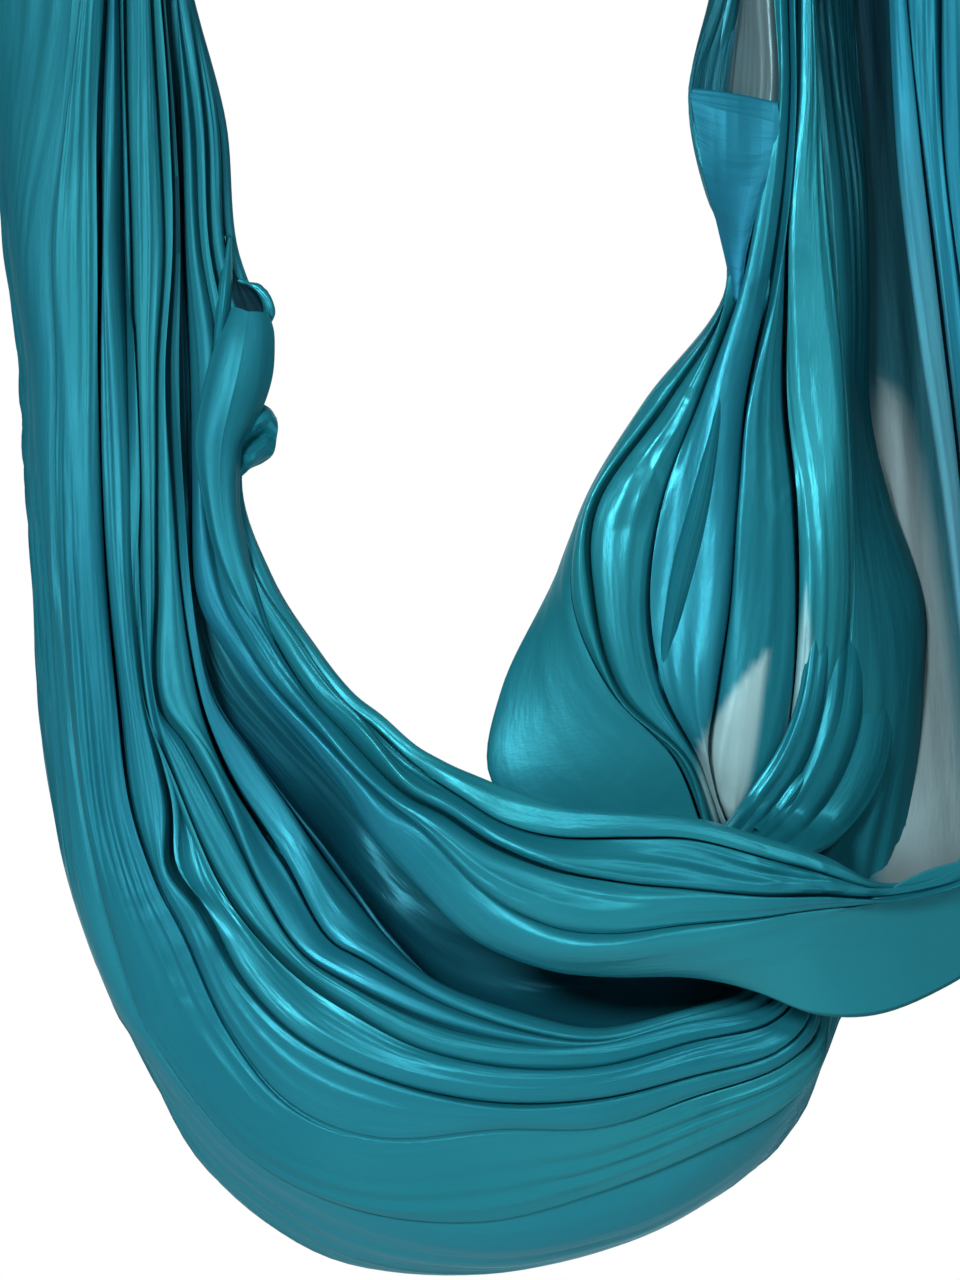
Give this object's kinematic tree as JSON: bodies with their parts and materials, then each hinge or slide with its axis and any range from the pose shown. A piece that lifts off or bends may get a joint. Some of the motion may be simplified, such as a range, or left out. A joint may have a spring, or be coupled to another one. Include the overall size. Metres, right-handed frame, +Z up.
{
  "type": "aerial yoga hammock",
  "caption": "Aerial silk hammock: a wide tricot cloth gathered into two pleated strands and a draped sling, tied to two screw gate carabiners under ceiling plates.",
  "frame": {"origin": "midway between the two ceiling plates, in the plane of the ceiling that their upper faces bear on", "axes": "+X from the left plate to the right plate, +Y away from the front of the sling, +Z up into the ceiling"},
  "size_m": [1.0665, 0.3337, 1.9077],
  "materials": {
    "cloth": "satin nylon tricot, teal, low stretch",
    "galvanised_steel": "zinc plated, satin",
    "polished_steel": "tumbled bright steel",
    "black_metal": "black anodised, fluted"
  },
  "bodies": {
    "root": {"left_ceiling_plate": "galvanised_steel", "left_eye": "galvanised_steel", "left_bolt_1": "galvanised_steel", "left_bolt_2": "galvanised_steel", "left_bolt_3": "galvanised_steel", "left_bolt_4": "galvanised_steel", "left_washer_1": "galvanised_steel", "left_washer_2": "galvanised_steel", "left_washer_3": "galvanised_steel", "left_washer_4": "galvanised_steel", "right_ceiling_plate": "galvanised_steel", "right_eye": "galvanised_steel", "right_bolt_1": "galvanised_steel", "right_bolt_2": "galvanised_steel", "right_bolt_3": "galvanised_steel", "right_bolt_4": "galvanised_steel", "right_washer_1": "galvanised_steel", "right_washer_2": "galvanised_steel", "right_washer_3": "galvanised_steel", "right_washer_4": "galvanised_steel"},
    "left_carabiner": {"left_carabiner_body": "polished_steel", "left_gate_pin": "polished_steel"},
    "left_gate": {"left_gate": "polished_steel"},
    "left_sleeve": {"left_gate_sleeve": "black_metal"},
    "right_carabiner": {"right_carabiner_body": "polished_steel", "right_gate_pin": "polished_steel"},
    "right_gate": {"right_gate": "polished_steel"},
    "right_sleeve": {"right_gate_sleeve": "black_metal"},
    "cloth": {"cloth_left_strand": "cloth", "cloth_pouch": "cloth", "cloth_front_band": "cloth", "cloth_right_fan": "cloth", "cloth_right_rise": "cloth", "cloth_right_strand": "cloth", "left_cloth_loop": "cloth", "left_cloth_knot": "cloth", "left_cloth_tail": "cloth", "right_cloth_loop": "cloth", "right_cloth_knot": "cloth", "right_cloth_tail": "cloth"}
  },
  "joints": [
    {"name": "left_carabiner_swing", "type": "hinge", "parent": "root", "child": "left_carabiner", "pos_m": [-0.375, 0, -0.0262], "axis": [1, 0, 0], "range_deg": [-60, 60]},
    {"name": "right_carabiner_swing", "type": "hinge", "parent": "root", "child": "right_carabiner", "pos_m": [0.375, 0, -0.0262], "axis": [1, 0, 0], "range_deg": [-60, 60]},
    {"name": "cloth_swing", "type": "hinge", "parent": "left_carabiner", "child": "cloth", "pos_m": [-0.375, 0, -0.1252], "axis": [1, 0, 0], "range_deg": [-20, 20]},
    {"name": "left_gate_swing", "type": "hinge", "parent": "left_carabiner", "child": "left_gate", "pos_m": [-0.344, 0, -0.0502], "axis": [0, 1, 0], "range_deg": [0, 25], "stiffness_Nm_per_rad": 0.2, "springref_deg": -17.19},
    {"name": "left_sleeve_travel", "type": "slide", "parent": "left_gate", "child": "left_sleeve", "axis": [0, 0, -1], "range_m": [0, 0.008]},
    {"name": "right_gate_swing", "type": "hinge", "parent": "right_carabiner", "child": "right_gate", "pos_m": [0.344, 0, -0.0502], "axis": [0, -1, 0], "range_deg": [0, 25], "stiffness_Nm_per_rad": 0.2, "springref_deg": -17.19},
    {"name": "right_sleeve_travel", "type": "slide", "parent": "right_gate", "child": "right_sleeve", "axis": [0, 0, -1], "range_m": [0, 0.008]}
  ],
  "couplings": [
    {"joint": "right_carabiner_swing", "follows": "left_carabiner_swing", "ratio": 1}
  ]
}
